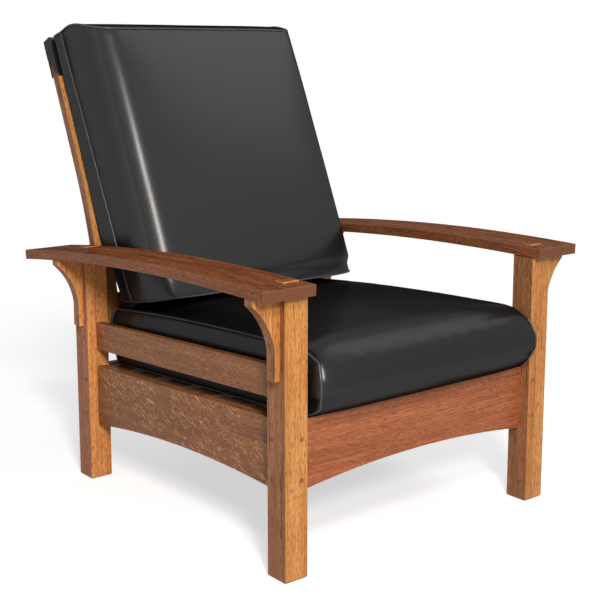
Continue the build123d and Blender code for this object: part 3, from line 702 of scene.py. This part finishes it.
def blow_up(piece, seams, cap, calm):
    """Runs the cloth on a cover and returns its new places, each moved by the cap at most;
    calm is the number of rounds that even the moves out."""
    start = np.array([v.co[:] for v in piece.data.vertices])
    held = piece.vertex_groups.new(name="held")
    held.add(list(range(len(start))), foam_hold, "REPLACE")
    held.add(sorted({int(number) for seam in seams for number in seam}), 1.0, "REPLACE")
    cloth = piece.modifiers.new("stuffing", "CLOTH")
    for setting, value in stuffing.items():
        setattr(cloth.settings, setting, value)
    cloth.settings.effector_weights.gravity = 0.0
    cloth.collision_settings.use_collision = False
    cloth.point_cache.frame_start = 1
    cloth.point_cache.frame_end = frames_to_run
    for number in range(1, frames_to_run + 1):
        scene.frame_set(number)
    ready = piece.evaluated_get(bpy.context.evaluated_depsgraph_get())
    moved = np.array([v.co[:] for v in ready.data.vertices])
    piece.modifiers.remove(cloth)
    scene.frame_set(1)
    piece.vertex_groups.clear()
    step = smoothed(piece, moved - start, calm)
    far = np.linalg.norm(step, axis=1, keepdims=True)
    step = step * np.where(far > 1e-9, cap * np.tanh(far / cap) / np.maximum(far, 1e-9), 1)
    outward = (step * normals_of(piece)).sum(axis=1)
    spread = np.round(np.percentile(outward, (1, 50, 99)) * 1000, 1)
    print(piece.name, "outward mm, 1st, 50th and 99th of 100:", spread)
    print(piece.name, "largest move", round(float(far.max()) * 1000, 1), "mm")
    return start + step


# the covers start slim and not quite plump, and the pressure fills them
plump_start = 0.8
seat_slim, back_slim, largest_move = 0.0015, 0.0025, 0.022
seat = make_piece("seat_cushion_cover", seat_form(seat_shares, seat_slim, plump_start),
                  seat_squares, seat_leather)
back = make_piece("back_cushion_cover", back_form(back_shares, back_slim, plump_start),
                  back_squares, cover_leather)
seat_points = blow_up(seat, seat_seams, largest_move, calm=12)
back_points = blow_up(back, back_seams, largest_move, calm=60)

# %% [markdown]
# ## Seams and puckers
# Where a welt is sewn in, the leather is held down and gathers a little: short folds run away from
# the seam and die out within 50 mm. They are added as small waves that are strongest at the seam.
# The nose of the seat has its own band of short upright creases, where sitting bends it.
#
# The covers must not cut into the boards. So a point that has come out of the measured cushion is
# brought back to its surface, or to a few millimetres outside it on the sides that lie free.

# %% Puckers and fit
tuck_width, tuck_depth = 0.006, 0.0012


def near_seam(points, seams):
    """Distance of each point to the nearest seam and how far along that seam it lies."""
    away = np.full(len(points), 9.0)
    along = np.zeros(len(points))
    offset = 0.0
    for seam in seams:
        line = points[seam]
        run = np.concatenate([[0], np.cumsum(np.linalg.norm(np.diff(line, axis=0), axis=1))])
        gaps = np.linalg.norm(points[:, None, :] - line[None, :, :], axis=2)
        nearest = gaps.argmin(axis=1)
        closer = gaps.min(axis=1) < away
        away = np.where(closer, gaps.min(axis=1), away)
        along = np.where(closer, run[nearest] + offset, along)
        offset += run[-1] + 1.0
    return away, along


def bell(offset, width):
    """A smooth hump: 1 at no offset, nearly 0 at twice the width."""
    return np.exp(-((offset / width) ** 2))


def puckered(points, out, seams, seed, depth, reach):
    """Adds the folds that run away from the seams, and tucks the leather in there."""
    away, along = near_seam(points, seams)
    folds = ripple(along, seed, (0.017, 0.023, 0.031, 0.047, 0.083))
    tucked = tuck_depth * bell(away, tuck_width)
    return points + out * (depth * folds * bell(away, reach) - tucked)[:, None]


def kept_inside(points, node, proud):
    """Brings points back that stand further out of a measured solid than proud says."""
    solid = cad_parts[node].data
    tree = BVHTree.FromPolygons([v.co[:] for v in solid.vertices],
                                [p.vertices[:] for p in solid.polygons])
    result = points.copy()
    for number, point in enumerate(points):
        place, normal, _, _ = tree.find_nearest(Vector(point))
        out = (Vector(point) - place).dot(normal)
        if out > proud[number]:
            result[number] = np.array(place) + np.array(normal) * proud[number]
    return result


# %% Creases and fit of the seat
fold_depth, fold_reach, nose_crease = 0.0013, 0.028, 0.0030
seat_end_proud, seat_proud = 0.010, 0.009
side, up, deep = seat_shares.T
near_end = np.minimum(side, 1 - side)
nose_corner = bell(near_end, 0.03) * np.clip(1.3 - deep * 8, 0, 1)
seat_points = smoothed(seat, seat_points, 14, nose_corner[:, None])
set_places(seat, seat_points)
seat_points = puckered(seat_points, normals_of(seat), seat_seams, 5, fold_depth, fold_reach)

# the creases lie on the upper front of the nose, 30 degrees above its middle
nose_y, nose_z = on_deck(seat_nose, seat_thick / 2)
angle = np.arctan2(seat_points[:, 2] - nose_z, nose_y - seat_points[:, 1])
band = bell(angle - radians(30), radians(20)) * (seat_points[:, 1] < nose_y)
lean = seat_points[:, 0] + 0.006 * ripple(angle, 3, (0.9, 1.7))
creases = ripple(lean, 11, (0.013, 0.019, 0.027, 0.041))
creases = creases * (0.6 + 0.4 * ripple(seat_points[:, 0], 12, (0.16, 0.23)))

at_end = near_end < 0.02
ahead_of_back = np.clip((0.02 - seat_points[:, 1]) / 0.08, 0, 1)
proud = np.where(at_end, seat_end_proud, seat_proud * ahead_of_back) * (up > 0.3)
seat_points = kept_inside(seat_points, "seat_cushion", proud)
folds = band * np.clip(0.35 + creases, 0, 1.6)
seat_points = seat_points - normals_of(seat) * (nose_crease * folds)[:, None]
set_places(seat, seat_points)
seat_box = np.concatenate([seat_points.min(0), seat_points.max(0)])
print("seat box", [round(float(v), 3) for v in seat_box])

# %% Folds and fit of the back
fold_depth, fold_reach, lap_slim = 0.0012, 0.030, 0.0015
back_side_proud, back_front_proud = 0.0125, 0.004
set_places(back, back_points)
back_points = puckered(back_points, normals_of(back), back_seams, 8, fold_depth, fold_reach)
side, up, row = back_shares.T
at_side = np.minimum(side, 1 - side) < 0.04
free = (up > 0.06) & ((row < 0.6) | at_side)
proud = np.where(free, np.where(at_side, back_side_proud, back_front_proud), 0.0)
back_points = kept_inside(back_points, "back_cushion", proud)
# the strip behind the piping takes the places that the form gives it
lapped = at_side & (row > 0.85)
back_points[lapped] = back_form(back_shares, lap_slim, 1.0)[lapped]
set_places(back, back_points)
print("back cover", round(float(np.ptp(back_points[:, 0])), 3), "m wide,", int(lapped.sum()),
      "points of it lapped")

# %% [markdown]
# ## Welts
# A welt is a cord of 4 mm in a strip of the same leather, 4.8 mm over all, sewn between two panels.
# It stands half out of the seam and catches a thin line of light, and its leather is painted a
# paler grey as a painted highlight along that line. Each one follows the cover's own seam points,
# so it lies where the cover was blown to. Under the seat it is pushed up into the leather, because
# the cushion slides over the front rail there.

# %% A welt
welt_radius, welt_clearance = 0.0024, 0.0008


def welt(name, lines, points, out, lift):
    """One object with a round cord along every line of seam points."""
    curve = bpy.data.curves.new(name, "CURVE")
    curve.dimensions = "3D"
    curve.bevel_depth = welt_radius
    curve.bevel_resolution = 3
    for line in lines:
        places = points[line] + out[line] * lift
        for _ in range(2):
            inner = (places[:-2] + 2 * places[1:-1] + places[2:]) / 4
            places = np.concatenate([places[:1], inner, places[-1:]])
        spline = curve.splines.new("NURBS")
        spline.points.add(len(places) - 1)
        for number, place in enumerate(places):
            spline.points[number].co = (*place, 1.0)
        spline.order_u = 4
        spline.use_endpoint_u = True
    curve.materials.append(welt_leather_painted_highlight)
    piece = bpy.data.objects.new(name, curve)
    scene.collection.objects.link(piece)
    return piece


def joined(*seams):
    """Seams chained end to end, each turned the way that meets the one before."""
    chain = list(seams[0])
    for seam in seams[1:]:
        seam = list(seam)
        if chain[-1] != seam[0]:
            seam = seam[::-1]
        chain += seam[1:]
    return chain


def seat_loop(side):
    """The seam around one end panel of the seat: low, rear, high and front."""
    edges = ((1, 0), (2, 1), (1, 1), (2, 0))
    return joined(*(seam_points(seat_net, {0: side, direction: end}) for direction, end in edges))


def back_turn(up):
    """The seam at the head or foot: along one side, the front and the other side."""
    left = seam_points(back_net, {0: 0, 1: up})
    front = seam_points(back_net, {1: up, 2: 0})
    right = seam_points(back_net, {0: 1, 1: up})
    return joined(left[::-1], front, right)


# %% Welts on both cushions
deck_up = np.array([0.0, sin(radians(deck_fall)), cos(radians(deck_fall))])
above_deck = (seat_points - np.array([0.0, *on_deck(0.0, 0.0)])) @ deck_up
short_of = np.clip(welt_radius + welt_clearance - above_deck, 0, None)
seat_welt = welt("seat_cushion_welts", [seat_loop(0), seat_loop(1)],
                 seat_points + short_of[:, None] * deck_up, normals_of(seat), 0.0004)
back_lines = [piping_points(0), piping_points(1), back_turn(0), back_turn(1)]
back_lines += [seam_points(back_net, {1: up, 2: 1}) for up in (0, 1)]
back_welt = welt("back_cushion_welts", back_lines, back_points, normals_of(back), 0.0006)
for piece in (seat, back):
    smoother = piece.modifiers.new("fine_net", "SUBSURF")
    smoother.levels = smoother.render_levels = 1
print("welts", len(seat_welt.data.splines), "and", len(back_welt.data.splines))

# %% [markdown]
# ## Hood
# A leather hood is sewn to the head of the cushion and drops over the top of the back frame, which
# keeps the cushion from sliding down. It is a folded sheet: over the top, down the rear, and a
# gusset at each side that covers the head of the stile, hangs lower at its front and turns in
# there to meet the cushion. It is built as one net of squares that follows those folds, thickened
# to a real hide, with slight waves where it hangs down the rear.

# %% Measures of the hood
lean = radians(back_lean)
up_way = np.array([0.0, sin(lean), cos(lean)])
rear_way = np.array([0.0, cos(lean), -sin(lean)])
hood_solid = np.array([v.co[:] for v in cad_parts["back_cushion_hood"].data.vertices])
along_up = hood_solid @ up_way
along_rear = hood_solid @ rear_way
hood_top, hood_low = along_up.max(), along_up.min()
hood_front, hood_rear = along_rear.min(), along_rear.max()
hood_half = float(np.abs(hood_solid[:, 0]).max())
hood_hide, hood_wave = 0.0024, 0.0006
hood_rear_drop, hood_front_drop = 0.045, 0.098
hood_lip = hood_front - 0.0015
hood_turn = 0.288
print("hood", round(hood_half * 2, 3), "m wide, drops", round(float(hood_top - hood_low), 3), "m")

# %% Hood
def hood_net():
    """Points and squares of the hood's middle surface; k runs from a gusset's front to its rear."""
    half = hood_half - hood_hide / 2
    top = hood_top - hood_hide / 2
    rear = hood_rear - hood_hide / 2
    points, squares = [], []

    def place(x, up, back_to):
        return np.array([x, 0, 0]) + up_way * up + rear_way * back_to

    def sheet(rows):
        first = len(points)
        for row in rows:
            points.extend(row)
        width = len(rows[0])
        for i in range(len(rows) - 1):
            for j in range(width - 1):
                a = first + i * width + j
                squares.append([a, a + 1, a + width + 1, a + width])

    across = np.linspace(-half, half, 73)
    path = [(top, share) for share in np.linspace(hood_lip, rear, 5)]
    path += [(share, rear) for share in np.linspace(top, hood_low + 0.001, 14)[1:]]
    rows = []
    for up, back_to in path:
        drop = max(0.0, (top - up) / (top - hood_low))
        wave = hood_wave * ripple(across, 21, (0.09, 0.14, 0.23)) * drop
        rows.append([place(x, up, back_to + w - hood_wave * drop) for x, w in zip(across, wave)])
    sheet(rows)
    gusset = [(half, k) for k in np.linspace(0, 1, 6)]
    turned_in = [(x, 0.0) for x in np.linspace(hood_turn, half, 4)]
    for side in (-1, 1):
        for line in (gusset, turned_in):
            rows = []
            for share in np.linspace(0, 1, 12):
                row = []
                for x, k in line:
                    drop = hood_front_drop + (hood_rear_drop - hood_front_drop) * k
                    row.append(place(side * x, top - drop * share,
                                     hood_lip + (rear - hood_lip) * k))
                rows.append(row if side < 0 else row[::-1])
            sheet(rows)
    return np.array(points), squares


hood_points, hood_squares = hood_net()
hood = make_piece("back_hood_leather", hood_points, hood_squares, cover_leather)
weld = hood.modifiers.new("sewn", "WELD")
weld.merge_threshold = 0.0004
thick = hood.modifiers.new("hide", "SOLIDIFY")
thick.thickness = hood_hide
thick.offset = 0.0
soft = hood.modifiers.new("soft_edges", "BEVEL")
soft.width = 0.0008
soft.segments = 2
print("hood of", len(hood_squares), "squares")

# %% [markdown]
# ## Put the soft pieces in the chair
# The covers stand for the measured cushions, so those are hidden. Each piece rides on the body that
# carries it: the seat cushion pulls out on its own, and the back cushion goes up with its hood.

# %% Riding and stand-ins
for piece, body, nodes in (
    (seat, "seat_pad", ["seat_cushion"]),
    (back, "back_pad", ["back_cushion"]),
    (hood, "back_pad", ["back_cushion_hood"]),
    (seat_welt, "seat_pad", []),
    (back_welt, "back_pad", []),
):
    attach(piece, body)
    if nodes:
        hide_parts(*nodes)
print("soft pieces ride on their bodies")

# %% [markdown]
# ## Studio
# The light in the photograph comes from the front left, a little above the chair. Two round lamps
# one above the other stand for it here, which draw the long streak down the back cushion, and a
# broad weak one high on the right opens the shadows. They are far enough away to give clear but
# soft shadows. The room is the world's soft light, and the eye and the gloss see it white. The
# floor is a pale sheet that turns into the white room further out, and it keeps the shadow under
# the chair.

# %% Lamps
aim = Vector((0.0, 0.0, 0.5))
lamp_distance, lamp_size, lamp_tint = 4.5, 0.7, "#FFFAF4"


def lamp(name, way, distance, size, power, tint):
    """An area lamp that looks at the chair."""
    data = bpy.data.lights.new(name, "AREA")
    data.shape = "DISK"
    data.size = size
    data.energy = power
    data.color = linear(tint)[:3]
    piece = bpy.data.objects.new(name, data)
    piece.location = aim + Vector(way).normalized() * distance
    piece.rotation_euler = (aim - piece.location).to_track_quat("-Z", "Y").to_euler()
    scene.collection.objects.link(piece)
    print(name, "at", [round(v, 2) for v in piece.location])


lamp("front_lamp", (-0.425, -0.81, 0.405), lamp_distance, lamp_size, 100.0, lamp_tint)
lamp("upper_front_lamp", (-0.43, -0.68, 0.60), lamp_distance, lamp_size, 70.0, lamp_tint)
lamp("high_fill", (0.58, -0.20, 0.78), 4.0, 3.0, 34.0, "#FFFFFF")

# %% Room
world = bpy.data.worlds.new("white_room")
world.use_nodes = True
scene.world = world
sky = world.node_tree
sky.nodes.clear()


def seen_or_mirrored(tree):
    """1 for the rays that look at the room: from the camera, or off gloss or through glass."""
    rays = add(tree, "LightPath")
    share = rays.outputs["Is Camera Ray"]
    for kind in ("Is Glossy Ray", "Is Transmission Ray"):
        share = add(tree, "Math", {"operation": "MAXIMUM"}, i0=share, i1=rays.outputs[kind])
    return share


room = add(sky, "Background", Color=linear("#F4F6FA"), Strength=0.22)
white = add(sky, "Background", Color=linear("#FFFFFF"), Strength=1.0)
choice = add(sky, "MixShader", i0=seen_or_mirrored(sky), i1=room, i2=white)
add(sky, "OutputWorld", Surface=choice)
print("the room lights with", room.inputs["Strength"].default_value, "and looks white")

# %% Floor
floor_reach, floor_level = 9.0, -0.0005
fade_start, fade_end = 1.1, 2.4
floor_material, tree, output = new_material("pale_floor")
place = add(tree, "TexCoord").outputs["Object"]
flat = add(tree, "VectorMath", {"operation": "LENGTH"}, i0=place).outputs["Value"]
grit = add(tree, "TexNoise", Vector=place, Scale=400.0, Detail=2.0).outputs["Fac"]
paint = add(tree, "Mix", {"data_type": "RGBA"}, Factor=grit,
            i6=linear("#DCDCDC"), i7=linear("#E2E2E2")).outputs[2]
matt = add(tree, "BsdfDiffuse", Color=paint)
glow = add(tree, "Emission", Color=linear("#FDFEFF"), Strength=0.60)
lit = add(tree, "AddShader", i0=matt, i1=glow)
plain = add(tree, "Emission", Color=linear("#FFFFFF"), Strength=1.0)
far = add(tree, "MapRange", smooth_step, Value=flat, From_Min=fade_start, From_Max=fade_end)
seen_floor = add(tree, "MixShader", i0=far, i1=lit, i2=plain)
floor_mix = add(tree, "MixShader", i0=seen_or_mirrored(tree), i1=matt, i2=seen_floor)
tree.links.new(floor_mix.outputs[0], output.inputs["Surface"])
floor_corners = [(x * floor_reach, y * floor_reach, floor_level)
                 for x, y in ((-1, -1), (1, -1), (1, 1), (-1, 1))]
floor = make_piece("studio_floor", floor_corners, [[0, 1, 2, 3]], floor_material, smooth=False)
scene.view_settings.view_transform = "Standard"
print("floor", 2 * floor_reach, "m across")
